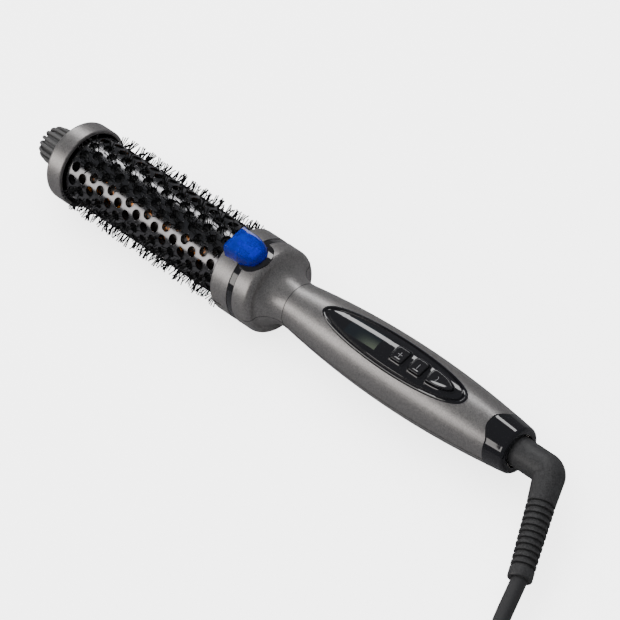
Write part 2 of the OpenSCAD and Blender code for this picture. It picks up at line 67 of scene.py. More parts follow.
# %% Stations and radii
low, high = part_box("cool_tip")
TIP_X = low.x
AXIS_Z = (low.z + high.z) / 2
S_CAP, S_BARREL, S_COLLAR = 18.5, 28.5, 128.0
S_FLARE, S_NECK, S_END_CAP, S_END = 151.5, 163.5, 280.5, 290.5
BARREL_R = 16.0
BELLY_S, BELLY_R, SIDE_ARC_R = 225.5, 14.76, 465.0


def at(station, y, z):
    """A point at that station, y sideways and z above the axis."""
    return Vector((TIP_X + station * MM, y * MM, AXIS_Z + z * MM))


def place(station, radius, azimuth):
    """A point at that station and radius; the azimuth is 0 at the top and grows towards +Y."""
    a = math.radians(azimuth)
    return at(station, radius * math.sin(a), radius * math.cos(a))


def over(station, y, radius):
    """A point at that station, y sideways, on a cylinder of that radius about the axis."""
    return at(station, y, math.sqrt(radius**2 - y**2))


def handle_r(station):
    """The handle's side is one long arc, widest at the belly."""
    return BELLY_R - SIDE_ARC_R + math.sqrt(SIDE_ARC_R**2 - (station - BELLY_S) ** 2)


print("axis height in mm:", round(AXIS_Z / MM, 3))
print("handle radius at the neck in mm:", round(handle_r(S_NECK), 2))

# %% [markdown]
# ## Camera
# The camera looks down on the brush from the cord's end and is rolled, so that the brush runs
# from corner to corner. It stands 1.3 m back with a long lens, as a product photographer's does,
# which keeps the far end of the brush almost as large as the near. At azimuth 0 it would look
# along the brush from the cord's end.

# %% Camera
def axes_matrix(x_axis, y_axis, z_axis, spot):
    """A placement from its three axes and its origin."""
    return Matrix(((*x_axis, 0), (*y_axis, 0), (*z_axis, 0), (*spot, 1))).transposed()


AIM = Vector((0.02306, 0.00105, 0.02110))
CAMERA_DISTANCE = 1.3
CAMERA_AZIMUTH, CAMERA_ELEVATION, CAMERA_ROLL = map(math.radians, (-28.84, 49.07, 20.46))
LENS = 181.16

back = Vector(
    (
        math.cos(CAMERA_ELEVATION) * math.cos(CAMERA_AZIMUTH),
        math.cos(CAMERA_ELEVATION) * math.sin(CAMERA_AZIMUTH),
        math.sin(CAMERA_ELEVATION),
    )
)
level_right = Vector((-math.sin(CAMERA_AZIMUTH), math.cos(CAMERA_AZIMUTH), 0))
level_up = back.cross(level_right)
right = math.cos(CAMERA_ROLL) * level_right - math.sin(CAMERA_ROLL) * level_up
up = math.cos(CAMERA_ROLL) * level_up + math.sin(CAMERA_ROLL) * level_right

camera = bpy.data.objects.new("camera", bpy.data.cameras.new("camera"))
bpy.context.scene.collection.objects.link(camera)
camera.data.lens = LENS
camera.data.sensor_width = 36
camera.data.clip_end = 20
camera.matrix_world = axes_matrix(right, up, back, AIM + CAMERA_DISTANCE * back)
bpy.context.scene.camera = camera
print("camera at", [round(x, 3) for x in camera.location])

# %% [markdown]
# ## Node trees as Python expressions
# Both materials and Geometry Nodes are graphs. Two small classes build either kind: `Graph.node`
# adds a node with its settings and inputs, and a `Socket` takes +, -, * and /, each of which adds
# one Math node. A finish can then be written as a formula.

# %% Sockets with operators
class Socket:
    """One output of a node in a graph."""

    def __init__(self, graph, output):
        self.graph, self.output = graph, output

    def math(self, operation, *others):
        return self.graph.node("ShaderNodeMath", {"operation": operation}, [self, *others])

    def __add__(self, other):
        return self.math("ADD", other)

    def __sub__(self, other):
        return self.math("SUBTRACT", other)

    def __mul__(self, other):
        return self.math("MULTIPLY", other)

    def __truediv__(self, other):
        return self.math("DIVIDE", other)

    def __mod__(self, other):
        return self.math("FLOORED_MODULO", other)

    def __rsub__(self, other):
        return self.graph.node("ShaderNodeMath", {"operation": "SUBTRACT"}, [other, self])

    def __rtruediv__(self, other):
        return self.graph.node("ShaderNodeMath", {"operation": "DIVIDE"}, [other, self])

    __radd__, __rmul__ = __add__, __mul__

    def floor(self):
        return self.math("FLOOR")

    def between(self, start, end, low=0.0, high=1.0):
        """Runs from low to high, without a kink, while this goes from start to end."""
        return self.graph.node(
            "ShaderNodeMapRange",
            {"interpolation_type": "SMOOTHSTEP"},
            {"Value": self, "From Min": start, "From Max": end, "To Min": low, "To Max": high},
        )


class Graph:
    """A node tree that is being built."""

    def __init__(self, tree):
        self.tree = tree

    def node(self, kind, settings=None, inputs=(), output=0):
        made = self.tree.nodes.new(kind)
        for key, value in (settings or {}).items():
            if key == "stops":
                ramp = made.color_ramp
                while len(ramp.elements) < len(value):
                    ramp.elements.new(1)
                for element, (position, colour) in zip(ramp.elements, value):
                    element.position, element.color = position, (*colour, 1)
            else:
                setattr(made, key, value)
        for key, value in inputs.items() if isinstance(inputs, dict) else enumerate(inputs):
            if isinstance(value, Socket):
                self.tree.links.new(value.output, made.inputs[key])
            else:
                made.inputs[key].default_value = value
        return Socket(self, made.outputs[output])

    def mix(self, factor, a, b):
        """A colour between a and b."""
        a, b = (c if isinstance(c, Socket) else (*c, 1) for c in (a, b))
        return self.node("ShaderNodeMix", {"data_type": "RGBA"}, {0: factor, 6: a, 7: b}, 2)

    def xyz(self, vector):
        """The three parts of a vector."""
        split = self.node("ShaderNodeSeparateXYZ", {}, [vector])
        return [Socket(self, part) for part in split.output.node.outputs]

    def vector(self, x, y, z):
        return self.node("ShaderNodeCombineXYZ", {}, [x, y, z])


# %% [markdown]
# ## Finishes
# Every finish starts from the Principled shader. `finish` makes the material, and a recipe
# function adds what changes over the surface: grain, flakes, weave, or polish marks. Patterns read
# Object coordinates, which are metres in the shared frame, so their scales are real sizes.

# %% The finish helper
finishes = {}


def finish(name, colour, roughness, metallic=0.0, recipe=None, **fixed):
    """A Principled material. The recipe gets the graph and the Object coordinates and returns
    the shader inputs that vary, and a height for the bump under "bump"."""
    material = bpy.data.materials.new(name)
    material.use_nodes = True
    graph = Graph(material.node_tree)
    shader = material.node_tree.nodes["Principled BSDF"]
    shader.inputs["Base Color"].default_value = (*colour, 1)
    shader.inputs["Roughness"].default_value = roughness
    shader.inputs["Metallic"].default_value = metallic
    for key, value in fixed.items():
        shader.inputs[key.replace("_", " ")].default_value = value
    if recipe:
        where = graph.node("ShaderNodeTexCoord", {}, (), "Object")
        varied = recipe(graph, where)
        if "bump" in varied:
            height, depth = varied.pop("bump")
            varied["Normal"] = graph.node(
                "ShaderNodeBump", {}, {"Strength": 1.0, "Distance": depth, "Height": height}
            )
        for key, value in varied.items():
            graph.tree.links.new(value.output, shader.inputs[key])
    material.diffuse_color = (*colour, 1)
    finishes[name] = material
    return material


def noise(graph, where, scale, detail=2.0):
    """Noise from 0 to 1 with about that many cells to a metre."""
    return graph.node("ShaderNodeTexNoise", {}, {"Vector": where, "Scale": scale, "Detail": detail})


def cells(graph, where, scale):
    """A random number for each small cell, for flakes and grains."""
    colour = graph.node("ShaderNodeTexVoronoi", {}, {"Vector": where, "Scale": scale}, "Color")
    return graph.xyz(colour)[0]


# %% [markdown]
# ### Satin gunmetal lacquer
# The collar, the handle and the tip cap are plastic with a metallic lacquer. Its tiny flakes
# make a fine sparkle, and a slow change of gloss keeps the long highlights from looking printed.

# %% Satin lacquer
def satin_lacquer(graph, where):
    flake = cells(graph, where, 3600)
    cloud = noise(graph, where, 60)
    colour = graph.mix(flake, (0.24, 0.232, 0.23), (0.42, 0.405, 0.4))
    return {
        "Base Color": colour,
        "Roughness": 0.33 + 0.07 * flake + 0.05 * cloud,
        "bump": (noise(graph, where, 2600), 0.00001),
    }


finish("satin_casing", (0.38, 0.37, 0.366), 0.42, 0.9, satin_lacquer)


# %% [markdown]
# ### Polished barrel metal
# The barrel is a polished, slightly smoky metal. Faint wipe marks along it break up the
# reflection, and it is a little duller where hair has rubbed it.

# %% Barrel metal
def polished_barrel(graph, where):
    x, y, z = graph.xyz(where)
    wipe = noise(graph, graph.vector(x * 0.08, y, z), 900)
    smoke = noise(graph, where, 120)
    return {
        "Base Color": graph.mix(smoke, (0.16, 0.16, 0.17), (0.26, 0.255, 0.26)),
        "Roughness": 0.12 + 0.12 * wipe,
        "bump": (wipe, 0.000002),
    }


finish("barrel_metal", (0.5, 0.5, 0.52), 0.12, 1.0, polished_barrel)


# %% [markdown]
# ### Piano black, rubber and nylon
# Piano black is a nearly black plastic under a hard clear layer, with a trace of orange peel.
# The elbow, strain relief and cord are soft black rubbers with a fine moulded grain, and the
# bristles and heat-proof parts are nylon.

# %% Black finishes
def orange_peel(graph, where):
    return {
        "Roughness": 0.04 + 0.04 * noise(graph, where, 500),
        "bump": (noise(graph, where, 700), 0.0000015),
    }


def rubber_grain(graph, where):
    grain = cells(graph, where, 3000)
    return {
        "Base Color": graph.mix(grain, (0.012, 0.012, 0.0125), (0.03, 0.03, 0.031)),
        "Roughness": 0.46 + 0.12 * grain,
        "bump": (noise(graph, where, 2400, 3.0), 0.00002),
    }


def cord_skin(graph, where):
    grain = noise(graph, where, 1500)
    return {"Roughness": 0.42 + 0.12 * grain, "bump": (grain, 0.00001)}


def moulded_grain(graph, where):
    grain = noise(graph, where, 1800, 3.0)
    return {
        "Base Color": graph.mix(grain, (0.035, 0.035, 0.036), (0.075, 0.074, 0.074)),
        "Roughness": 0.46 + 0.12 * grain,
        "bump": (grain, 0.00002),
    }


def nylon(graph, where):
    tone = noise(graph, where, 300)
    return {
        "Base Color": graph.mix(tone, (0.002, 0.002, 0.0022), (0.008, 0.008, 0.0085)),
        "Roughness": 0.34 + 0.1 * tone,
    }


PIANO = {"Coat_Weight": 1.0, "Coat_Roughness": 0.03}
WORN_PIANO = {"Coat_Weight": 0.8, "Coat_Roughness": 0.06}
finish("gloss_trim", (0.005, 0.005, 0.006), 0.06, 0.0, orange_peel, **PIANO)
finish("panel_gloss", (0.005, 0.005, 0.006), 0.06, 0.0, orange_peel, **PIANO)
finish("button_plastic", (0.007, 0.007, 0.008), 0.1, 0.0, orange_peel, **WORN_PIANO)
finish("swivel_rubber", (0.035, 0.035, 0.037), 0.5, 0.0, rubber_grain)
finish("cord_jacket", (0.02, 0.02, 0.021), 0.48, 0.0, cord_skin)
finish("cool_tip_plastic", (0.08, 0.08, 0.082), 0.5, 0.0, moulded_grain)
finish("bristle_nylon", (0.012, 0.012, 0.013), 0.35, 0.0, nylon)
finish("heat_proof_plastic", (0.012, 0.012, 0.012), 0.5, 0.0, nylon)
finish("plug_plastic", (0.015, 0.015, 0.016), 0.35, 0.0, cord_skin)


# %% [markdown]
# ### Blue outlet, display and inner parts
# The outlet is clear blue plastic that light passes through, so its edges glow, and its blue is
# painted lighter towards the roof as a sheen. The inner parts are mostly hidden, and each still
# gets the finish of its real material, because the open holes of the barrel show some of them. Only
# the insulation film differs: it is painted nearly black as shade inside the barrel, with scattered
# amber spots as painted glints.

# %% Other finishes
def brushed(graph, where):
    x, y, z = graph.xyz(where)
    line = noise(graph, graph.vector(x * 0.1, y, z), 1200)
    return {"Roughness": 0.25 + 0.15 * line, "bump": (line, 0.000004)}


def film_wrinkles_and_painted_glints(graph, where):
    # Painted light: the film is painted nearly black, as shade inside the barrel, with scattered
    # amber spots as painted glints. The folds also make a real bump.
    fold = noise(graph, where, 260)
    painted_glint = fold.between(0.56, 0.68)
    painted_shade_and_glints = graph.mix(painted_glint, (0.006, 0.003, 0.002), (0.5, 0.16, 0.008))
    return {"Base Color": painted_shade_and_glints, "bump": (fold, 0.0002)}


def woven(graph, where):
    x, y, z = graph.xyz(where)
    thread = ((x + y) * 4200).math("SINE") * (z * 4200).math("SINE")
    return {"Roughness": 0.8 + 0.1 * thread, "bump": (thread, 0.00006)}


def board_mask(graph, where):
    x, y, z = graph.xyz(where)
    track = ((x * 1700).math("SINE") * (y * 1900).math("SINE")).between(0.1, 0.2)
    return {"Base Color": graph.mix(track, (0.01, 0.09, 0.035), (0.02, 0.16, 0.06))}


def baked(graph, where):
    speck = noise(graph, where, 900, 3.0)
    clay = graph.mix(speck, (0.5, 0.47, 0.4), (0.72, 0.69, 0.62))
    return {"Base Color": clay, "bump": (speck, 0.00001)}


def display_tint(graph, where):
    """Dark glass that turns grey-green towards the buttons and the lower side."""
    x, y, z = graph.xyz(where)
    along = ((x - TIP_X) / MM).between(203, 216)
    across = (y / MM).between(1.0, -4.2)
    return {"Base Color": graph.mix(along * across, (0.006, 0.008, 0.01), (0.05, 0.06, 0.045))}


def blue_with_painted_sheen(graph, where):
    # Painted sheen: the blue is painted lighter towards the hood's roof, where light falls.
    x, y, z = graph.xyz(where)
    painted_roof_sheen = ((z - AXIS_Z) / MM).between(19.5, 24.5)
    return {"Base Color": graph.mix(painted_roof_sheen, (0.004, 0.012, 0.42), (0.01, 0.045, 0.62))}


CLEAR = {"Transmission_Weight": 0.8, "IOR": 1.12, "Coat_Weight": 1.0}
GLASS = {"Coat_Weight": 1.0, "Coat_Roughness": 0.01}
finish("blue_clear_plastic", (0.01, 0.04, 0.6), 0.03, 0.0, blue_with_painted_sheen, **CLEAR)
finish("emitter_plastic", (0.16, 0.36, 0.9), 0.3, 0.0)
finish("display_glass", (0.05, 0.06, 0.05), 0.03, 0.0, display_tint, **GLASS)
finish("steel_fastener", (0.6, 0.6, 0.62), 0.3, 1.0, brushed)
finish("heater_aluminium", (0.66, 0.66, 0.68), 0.35, 1.0, brushed)
finish("heater_ceramic", (0.62, 0.59, 0.52), 0.7, 0.0, baked)
finish("insulation_film", (0.6, 0.2, 0.01), 0.22, 0.35, film_wrinkles_and_painted_glints)
finish("potted_module", (0.02, 0.02, 0.022), 0.35, 0.0, orange_peel)
finish("circuit_board", (0.02, 0.13, 0.05), 0.35, 0.0, board_mask)
finish("switch_plastic", (0.35, 0.35, 0.35), 0.45, 0.0, cord_skin)
finish("lead_sleeve", (0.7, 0.67, 0.6), 0.8, 0.0, woven)
finish("swivel_nylon", (0.68, 0.66, 0.6), 0.45, 0.0, cord_skin)
finish("contact_brass", (0.75, 0.52, 0.2), 0.3, 1.0, brushed)
finish("tie_fabric", (0.02, 0.02, 0.022), 0.85, 0.0, woven)
finish("plug_metal", (0.78, 0.77, 0.75), 0.18, 1.0, brushed)
finish("seam_shadow", (0.012, 0.012, 0.012), 0.6, 0.0, cord_skin)
finish("sign_grey", (0.09, 0.09, 0.095), 0.4, 0.0, cord_skin)

for part in frame["record"]["subparts"]:
    for holder in nodes[part["node"]].material_slots:
        holder.material = finishes[part["material_slot"]]
print("finishes:", len(finishes))


# %% [markdown]
# ## Making pieces
# `loft` joins rings of points into a closed skin. `settle` gives a piece its finish, puts it on
# its body, and hides the CAD solids it stands for. Every mesh is
# shaded smooth, apart from edges sharper than a given angle.

# %% Piece helpers
def linked(name, data):
    """A new object in the scene that holds the data."""
    made = bpy.data.objects.new(name, data)
    bpy.context.scene.collection.objects.link(made)
    return made


def shaded(name, mesh, sharp):
    """The mesh as an object, smooth apart from its sharp edges."""
    mesh.shade_smooth()
    mesh.set_sharp_from_angle(angle=math.radians(sharp))
    return linked(name, mesh)


def mesh_object(name, points, faces, sharp=35):
    mesh = bpy.data.meshes.new(name)
    mesh.from_pydata([tuple(p) for p in points], [], faces)
    shape = bmesh.new()
    shape.from_mesh(mesh)
    bmesh.ops.remove_doubles(shape, verts=shape.verts, dist=1e-6)
    bmesh.ops.dissolve_degenerate(shape, edges=shape.edges, dist=1e-7)
    bmesh.ops.recalc_face_normals(shape, faces=shape.faces)
    shape.to_mesh(mesh)
    shape.free()
    return shaded(name, mesh, sharp)


def loft(name, rings, ends="caps", sharp=35):
    """A skin through rings of points. ends is caps, or joined: the last ring meets the first."""
    n, count = len(rings[0]), len(rings)
    points = [p for ring in rings for p in ring]
    faces = []
    for i in range(count if ends == "joined" else count - 1):
        a, b = i * n, (i + 1) % count * n
        faces += [(a + k, a + (k + 1) % n, b + (k + 1) % n, b + k) for k in range(n)]
    if ends == "caps":
        faces += [tuple(range(n)), tuple(range((count - 1) * n, count * n))]
    return mesh_object(name, points, faces, sharp)


def settle(piece, body, slot, replaces=(), material=None):
    piece.data.materials.clear()
    piece.data.materials.append(finishes[material or slot])
    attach(piece, body)
    if replaces:
        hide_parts(*replaces)
    faces = len(piece.data.polygons) if piece.type == "MESH" else 0
    print(piece.name, "rides on", body, "with", faces, "faces")
    return piece


# %% [markdown]
# ## The mains cord
# The cord is 2.7 m of 6.7 mm round flex. It leaves the strain relief in line with it, bends down
# to the table, and is stored in a neat coil of twelve turns with its plug on top. One curve with
# a round bevel is the way to make it, because a cord keeps its length and thickness. The values
# are in metres and repeat the route that the CAD source gives.

# %% Cord route
CORD_D = 0.0067
COIL_MID_R, COIL_X, STRAP = 0.034, 0.278, 0.0009
LEAD_STRAIGHT, LEAD_BEND_R, LEAD_FALL = 0.015, 0.026, 0.09
RELIEF_SIDE, RELIEF_DOWN = math.radians(-64), math.radians(8.2)
LEAD_SIDE = RELIEF_SIDE - math.radians(10)
ELBOW_X, RELIEF_REACH = 0.16175, 0.0472
RELIEF_END = Vector((ELBOW_X, 0, AXIS_Z)) + RELIEF_REACH * Vector(
    (
        math.cos(RELIEF_DOWN) * math.cos(RELIEF_SIDE),
        math.cos(RELIEF_DOWN) * math.sin(RELIEF_SIDE),
        -math.sin(RELIEF_DOWN),
    )
)
LEAD_ARC = -LEAD_SIDE * LEAD_BEND_R
BEND_START = LEAD_STRAIGHT * Vector((math.cos(LEAD_SIDE), math.sin(LEAD_SIDE)))
BEND_END = BEND_START + LEAD_BEND_R * Vector((-math.sin(LEAD_SIDE), math.cos(LEAD_SIDE) - 1))
COIL_Y = RELIEF_END.y + BEND_END.y + COIL_MID_R + CORD_D
LAYERS, COLUMNS, STEPS = 4, 3, 24
ON_COIL, PLUG_H, TAIL_BEND_R = 0.0002, 0.0137, 0.026
SLIDE_FROM, TAIL_STEPS, INTO_RELIEF = 0.66, 10, 0.0015
TAIL_Z = STRAP + (LAYERS + 0.5) * CORD_D + ON_COIL
PLUG_Z = STRAP + LAYERS * CORD_D + PLUG_H / 2 + ON_COIL


def ease(t):
    """Goes from 0 to 1 without a kink while t does."""
    return (1 - math.cos(math.pi * min(1, max(0, t)))) / 2


def lead_point(run):
    """The cord between the strain relief and the coil, that many metres along."""
    heading = LEAD_SIDE + (run - LEAD_STRAIGHT) / LEAD_BEND_R
    if run < LEAD_STRAIGHT:
        x, y = run * math.cos(LEAD_SIDE), run * math.sin(LEAD_SIDE)
    elif heading < 0:
        x = BEND_START.x + LEAD_BEND_R * (math.sin(heading) - math.sin(LEAD_SIDE))
        y = BEND_START.y + LEAD_BEND_R * (math.cos(LEAD_SIDE) - math.cos(heading))
    else:
        x, y = BEND_END.x + run - LEAD_STRAIGHT - LEAD_ARC, BEND_END.y
    drop = RELIEF_END.z - STRAP - CORD_D / 2
    z = RELIEF_END.z - drop * (1 - (1 - min(1, run / LEAD_FALL)) ** 2)
    return Vector((RELIEF_END.x + x, RELIEF_END.y + y, z))


LEAD_L = COIL_X - RELIEF_END.x - BEND_END.x + LEAD_STRAIGHT + LEAD_ARC
ACROSS = ((1, 0, -1), (-1, 0, 1))
turn_radii = [COIL_MID_R + CORD_D * c for layer in range(LAYERS) for c in ACROSS[layer % 2]]
turn_heights = [STRAP + CORD_D * (layer + 0.5) for layer in range(LAYERS) for _ in range(COLUMNS)]
turns = [*zip(turn_radii, turn_heights), (turn_radii[-1], TAIL_Z)]


def coil_point(turn, step):
    """A point of the coil. Each turn slides over to the next one's place in its last third."""
    slide = ease((step / STEPS - SLIDE_FROM) / (1 - SLIDE_FROM))
    (r, z), (next_r, next_z) = turns[turn], turns[turn + 1]
    r, z = r + (next_r - r) * slide, z + (next_z - z) * slide
    a = 2 * math.pi * step / STEPS - math.pi / 2
    return Vector((COIL_X + r * math.cos(a), COIL_Y + r * math.sin(a), z))


def tail_point(t):
    """The last bend, over the top of the coil to the plug, while t goes from 0 to 1."""
    x = TAIL_BEND_R * math.sin(math.pi / 2 * t)
    y = TAIL_BEND_R * (1 - math.cos(math.pi / 2 * t)) - COIL_MID_R - CORD_D
    return Vector((COIL_X + x, COIL_Y + y, TAIL_Z + (PLUG_Z - TAIL_Z) * ease(t)))


LEAD_POINTS = 26
cord_points = [lead_point(-INTO_RELIEF)]
cord_points += [lead_point(LEAD_L * i / LEAD_POINTS) for i in range(LEAD_POINTS)]
cord_points += [coil_point(turn, step) for turn in range(LAYERS * COLUMNS) for step in range(STEPS)]
cord_points += [tail_point(i / TAIL_STEPS) for i in range(TAIL_STEPS + 1)]
cord_length = sum((b - a).length for a, b in zip(cord_points, cord_points[1:]))
print("cord length in m:", round(cord_length, 3))

# %% Cord curve
line = bpy.data.curves.new("mains_cord", "CURVE")
line.dimensions = "3D"
line.bevel_depth = CORD_D / 2
line.bevel_resolution = 5
line.use_fill_caps = True
spline = line.splines.new("POLY")
spline.points.add(len(cord_points) - 1)
for point, target in zip(spline.points, cord_points):
    point.co = (*target, 1)
mains_cord = linked("mains_cord", line)
line.materials.append(finishes["cord_jacket"])
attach(mains_cord, "swivel")
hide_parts("power_cord", "cord_coil")


# %% [markdown]
# ## Growing pieces with Geometry Nodes
# What repeats is made by a node tree: the rims of the holes, the bristles, the ribs. `grow` runs
# a tree once with its named sizes and keeps the result as a plain mesh. On the barrel, the trick
# is to lay the pattern out flat, as if the metal had been unrolled, and to roll everything up in
# the tree's last step.

# %% Geometry Nodes helpers
def new_tree(name, sizes):
    """A Geometry Nodes tree and its named inputs, with the default values in sizes."""
    tree = bpy.data.node_groups.new(name, "GeometryNodeTree")
    tree.is_modifier = True
    add = tree.interface.new_socket
    add(name="Geometry", in_out="INPUT", socket_type="NodeSocketGeometry")
    for key, value in sizes.items():
        kind = "NodeSocketInt" if isinstance(value, int) else "NodeSocketFloat"
        add(name=key, in_out="INPUT", socket_type=kind).default_value = value
    add(name="Geometry", in_out="OUTPUT", socket_type="NodeSocketGeometry")
    graph = Graph(tree)
    entry = tree.nodes.new("NodeGroupInput")
    return graph, {o.name: Socket(graph, o) for o in entry.outputs if o.name}


def close_tree(graph, geometry, material):
    """Ends a tree: real geometry and one material."""
    real = graph.node("GeometryNodeRealizeInstances", {}, [geometry])
    painted = graph.node("GeometryNodeSetMaterial", {}, {"Geometry": real, "Material": material})
    exit_node = graph.tree.nodes.new("NodeGroupOutput")
    graph.tree.links.new(painted.output, exit_node.inputs[0])
    return graph.tree


def grow(name, tree, base=None, sharp=40):
    """Runs a tree with its default sizes and returns its result as a plain mesh object."""
    seed = base or mesh_object(name + "_seed", [], [])
    seed.modifiers.new("grow", "NODES").node_group = tree
    evaluated = seed.evaluated_get(bpy.context.evaluated_depsgraph_get())
    done = bpy.data.meshes.new_from_object(evaluated)
    bpy.data.objects.remove(seed)
    done.name = name
    return shaded(name, done, sharp)


def circle(graph, resolution, radius):
    """A flat ring, as a path or as a tube's section."""
    return graph.node(
        "GeometryNodeCurvePrimitiveCircle", {}, {"Resolution": resolution, "Radius": radius}
    )


def sweep(graph, path, section):
    """A closed rod along a path."""
    return graph.node(
        "GeometryNodeCurveToMesh", {}, {"Curve": path, "Profile Curve": section, "Fill Caps": True}
    )


def scatter(graph, spots, piece, **turned):
    """A copy of the piece on every spot, with a Rotation and a Scale where they are given."""
    return graph.node(
        "GeometryNodeInstanceOnPoints", {}, {"Points": spots, "Instance": piece, **turned}
    )


def spots_at(graph, count, position):
    return graph.node("GeometryNodePoints", {}, {"Count": count, "Position": position})


def roll_up(graph, geometry):
    """Rolls a flat layout (x along, y round, z out) onto the barrel."""
    x, y, z = graph.xyz(graph.node("GeometryNodeInputPosition"))
    angle, radius = y / (BARREL_R * MM), z + BARREL_R * MM
    rolled = graph.vector(x, radius * angle.math("SINE"), radius * angle.math("COSINE") + AXIS_Z)
    return graph.node("GeometryNodeSetPosition", {}, {"Geometry": geometry, "Position": rolled})


# %% [markdown]
# ### Hole rims
# The barrel has 32 rows of 5 mm holes, 12 mm apart, with every second row moved on by half a
# step. The holes themselves are cut in the CAD barrel. The press leaves a small rolled rim on
# each, which catches the light, so a thin ring is put on every hole.

# %% Rims
HOLE_ROWS, HOLES, HOLE_PITCH, FIRST_HOLE, HOLE_R = 32, 8, 12.0, 33.2, 2.5
ROW_STEP = 2 * math.pi * BARREL_R / HOLE_ROWS
RIM_SUNK = 0.00008


def hole_places(graph, row, column):
    """The flat place of a hole: every second row starts half a pitch further on."""
    shift = 0.5 - (row % 2.0) * 0.5
    x = (column + shift) * (HOLE_PITCH * MM) + (TIP_X + FIRST_HOLE * MM)
    return x, row * (ROW_STEP * MM)


graph, sizes = new_tree("hole_rims", {"Rim": 0.00022, "Hole": HOLE_R * MM})
index = graph.node("GeometryNodeInputIndex")
x, y = hole_places(graph, (index / float(HOLES)).floor(), index % float(HOLES))
spots = spots_at(graph, HOLE_ROWS * HOLES, graph.vector(x, y, -RIM_SUNK))
ring, section = circle(graph, 24, sizes["Hole"]), circle(graph, 6, sizes["Rim"])
rim = graph.node("GeometryNodeCurveToMesh", {}, [ring, section])
spread = scatter(graph, spots, rim)
rolled = roll_up(graph, graph.node("GeometryNodeRealizeInstances", {}, [spread]))
tree = close_tree(graph, rolled, finishes["barrel_metal"])
settle(grow("hole_rims", tree), "casing", "barrel_metal")

# %% [markdown]
# ### Bristles
# Four strips of bristles sit inside the barrel, and their tufts come out through five rows of
# holes each. A tuft is a few nylon filaments that splay apart. The tree makes one tapered
# filament and stands it on every tuft several times, each with its own random lean and length.

# %% Bristle tufts
STRIPS, STRIP_ROWS, FILAMENTS = 4, 5, 7
ROOT_R, TIP_R, SHORTEST = 14.2, 21.0, 5.4
ROOT_SPREAD, TAPER = 0.0011, 0.45

graph, sizes = new_tree("bristle_tufts", {"Thickness": 0.00024, "Lean": 0.42, "Seed": 7})
index = graph.node("GeometryNodeInputIndex")
tuft = (index / float(FILAMENTS)).floor()
strip_row = (tuft / float(HOLES)).floor()
strip = (strip_row / float(STRIP_ROWS)).floor()
row = strip * (HOLE_ROWS / STRIPS) + strip_row % float(STRIP_ROWS) - (STRIP_ROWS - 1) / 2
x, y = hole_places(graph, row + float(HOLE_ROWS), tuft % float(HOLES))


def random(seed_shift, low, high):
    """A random number for each filament."""
    return graph.node(
        "FunctionNodeRandomValue",
        {"data_type": "FLOAT"},
        {2: low, 3: high, "Seed": sizes["Seed"] + float(seed_shift)},
        1,
    )


lean_along, lean_round = random(1, -1.0, 1.0) * sizes["Lean"], random(2, -1.0, 1.0) * sizes["Lean"]
root = graph.vector(
    x + lean_along * ROOT_SPREAD, y + lean_round * -ROOT_SPREAD, (ROOT_R - BARREL_R) * MM
)
spots = spots_at(graph, STRIPS * STRIP_ROWS * HOLES * FILAMENTS, root)
upright = {"Start": (0, 0, 0), "End": (0, 0, MM)}
stalk = graph.node("GeometryNodeCurvePrimitiveLine", {}, upright)
stalk = graph.node("GeometryNodeResampleCurve", {}, {"Curve": stalk, "Count": 4})
taper = 1.0 - graph.node("GeometryNodeSplineParameter") * TAPER
stalk = graph.node("GeometryNodeSetCurveRadius", {}, {"Curve": stalk, "Radius": taper})
filament = sweep(graph, stalk, circle(graph, 5, sizes["Thickness"]))
lean = graph.node("FunctionNodeEulerToRotation", {}, [graph.vector(lean_round, lean_along, 0.0)])
tall = graph.vector(1.0, 1.0, random(3, SHORTEST, TIP_R - ROOT_R))
stood = scatter(graph, spots, filament, Rotation=lean, Scale=tall)
rolled = roll_up(graph, graph.node("GeometryNodeRealizeInstances", {}, [stood]))
tree = close_tree(graph, rolled, finishes["bristle_nylon"])
tufts = grow("bristle_tufts", tree)

# %% [markdown]
# Each strip's moulded spine is a curved plate under the barrel's wall. It closes the view into
# the barrel behind the tufted rows, and it is lofted from arcs.

# %% Bristle spines
SPINE_HALF, SPINE_IN, SPINE_OUT = 26.0, 13.2, 14.9


def spine_rings(centre):
    section = [(SPINE_OUT, centre + SPINE_HALF * (i / 8 - 1)) for i in range(17)]
    section += [(SPINE_IN, centre + SPINE_HALF * (1 - i / 8)) for i in range(17)]
    return [[place(s, r, a) for r, a in section] for s in (S_BARREL + 1.5, S_COLLAR - 2)]


spines = [loft(f"spine_{n}", spine_rings(n * 90)) for n in range(STRIPS)]


def joined(name, parts):
    """One object from several."""
    shape = bmesh.new()
    for part in parts:
        shape.from_mesh(part.data)
        bpy.data.objects.remove(part)
    mesh = bpy.data.meshes.new(name)
    shape.to_mesh(mesh)
    shape.free()
    return shaded(name, mesh, 40)


bristles = joined("bristles", [tufts, *spines])
strip_nodes = [f"bristle_strip_{n + 1}" for n in range(STRIPS)]
settle(bristles, "casing", "bristle_nylon", strip_nodes)

# %% [markdown]
# ### Ribbed cool tip
# The fingers hold the brush's cool end, so it is deeply ribbed. A turned core carries 16 round
# ribs that bend over its front edge. The tree sweeps one rib along a short curve and turns it
# round the axis.

# %% Cool tip
RIBS, RIB_R = 16, 0.86
NOSE_TOP, NOSE_CORNER = (0.0004, 0, 0.0052), (0.0001, 0, 0.0077)
RIB_FRONT, RIB_BACK = (0.0042, 0, 0.0081), (S_CAP * MM, 0, 0.0087)

